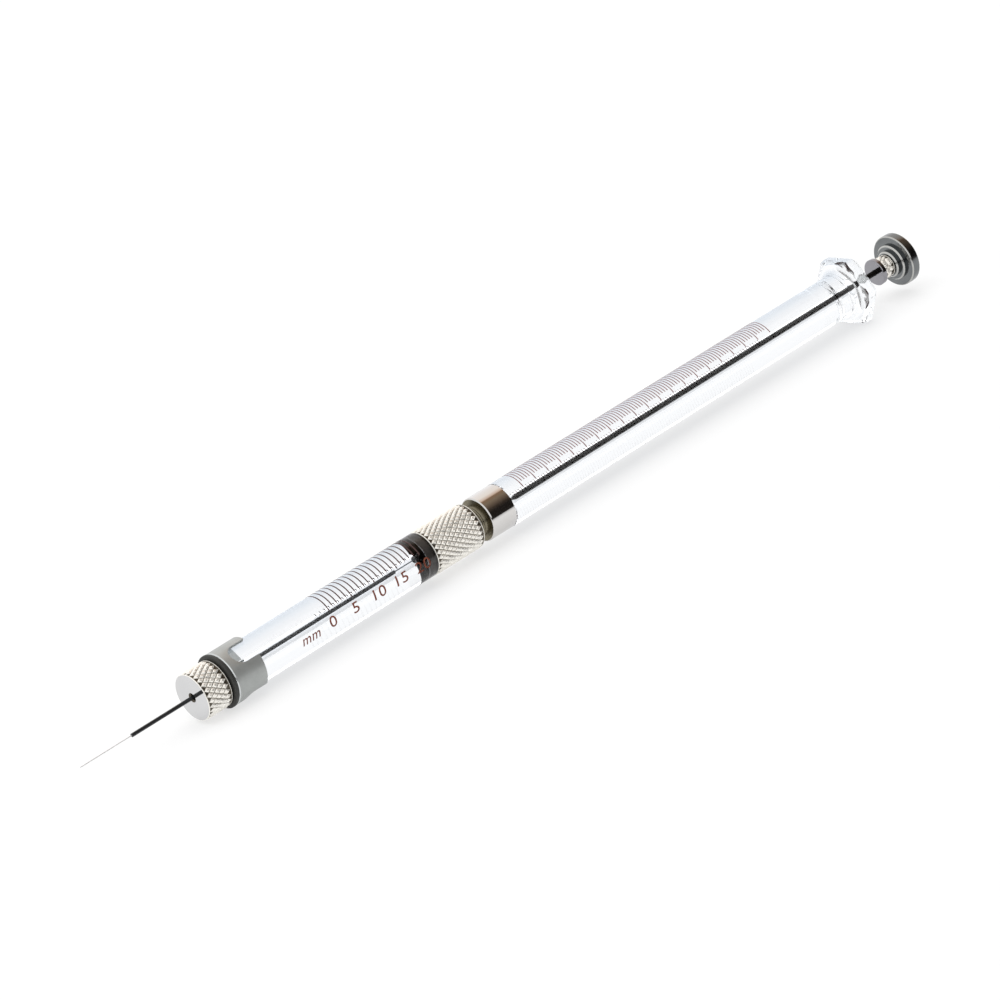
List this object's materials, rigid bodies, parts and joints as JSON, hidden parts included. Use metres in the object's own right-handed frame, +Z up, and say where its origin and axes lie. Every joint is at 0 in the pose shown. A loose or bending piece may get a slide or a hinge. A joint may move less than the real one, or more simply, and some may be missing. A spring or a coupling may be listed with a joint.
{
  "type": "microsyringe",
  "caption": "Glass microsyringe with a fine needle, a guide tube in a graduated glass depth sleeve, knurled nuts, a six-sided finger flange and a thumb disc plunger.",
  "frame": {"origin": "the needle's tip, on the syringe's axis", "axes": "+X along the axis from the needle's tip to the thumb disc, +Z up with a flat of the finger flange down"},
  "size_m": [0.1909, 0.0134, 0.012],
  "materials": {
    "glass": "clear, fire-polished edges",
    "knurled_nickel": "bright nickel plate, warm tone",
    "polished_cap": "mirror polished",
    "brushed_collar": "satin, turned",
    "black_rubber": "matt",
    "black_plastic": "semi-gloss",
    "needle_steel": "drawn, bright",
    "guide_black": "black coated tube",
    "rod_steel": "ground, dark",
    "button_steel": "turned and polished",
    "brass": "turned",
    "white_plastic": "smooth"
  },
  "bodies": {
    "barrel_body": {"barrel": "glass", "barrel_gasket": "white_plastic", "end_cap": "polished_cap", "needle": "needle_steel", "needle_hub": "needle_steel", "needle_seal": "white_plastic"},
    "sleeve_body": {"hub_nut": "knurled_nickel", "sleeve_plug": "black_plastic", "depth_sleeve": "glass", "collar": "brushed_collar", "chuck_body": "brass", "grip_collet": "white_plastic", "lock_washer": "black_rubber"},
    "lock_body": {"lock_nut": "knurled_nickel"},
    "guide_body": {"guide_tube": "guide_black"},
    "plunger_body": {"plunger_rod": "rod_steel", "plunger_wire": "needle_steel", "rod_chuck": "brass", "thumb_button": "button_steel"},
    "clamp_body": {"clamp_nut": "knurled_nickel"}
  },
  "joints": [
    {"name": "plunger_slide", "type": "slide", "parent": "barrel_body", "child": "plunger_body", "axis": [1, 0, 0], "range_m": [0, 0.06]},
    {"name": "hub_turn", "type": "hinge", "parent": "barrel_body", "child": "sleeve_body", "pos_m": [0.0785, 0, 0], "axis": [1, 0, 0], "range_deg": [0, 900]},
    {"name": "lock_turn", "type": "hinge", "parent": "sleeve_body", "child": "lock_body", "pos_m": [0.0257, 0, 0], "axis": [1, 0, 0], "range_deg": [0, 405]},
    {"name": "guide_slide", "type": "slide", "parent": "sleeve_body", "child": "guide_body", "axis": [1, 0, 0], "range_m": [-0.0103, 0.0043]},
    {"name": "clamp_turn", "type": "hinge", "parent": "plunger_body", "child": "clamp_body", "pos_m": [0.1857, 0, 0], "axis": [1, 0, 0], "range_deg": [0, 540]}
  ]
}
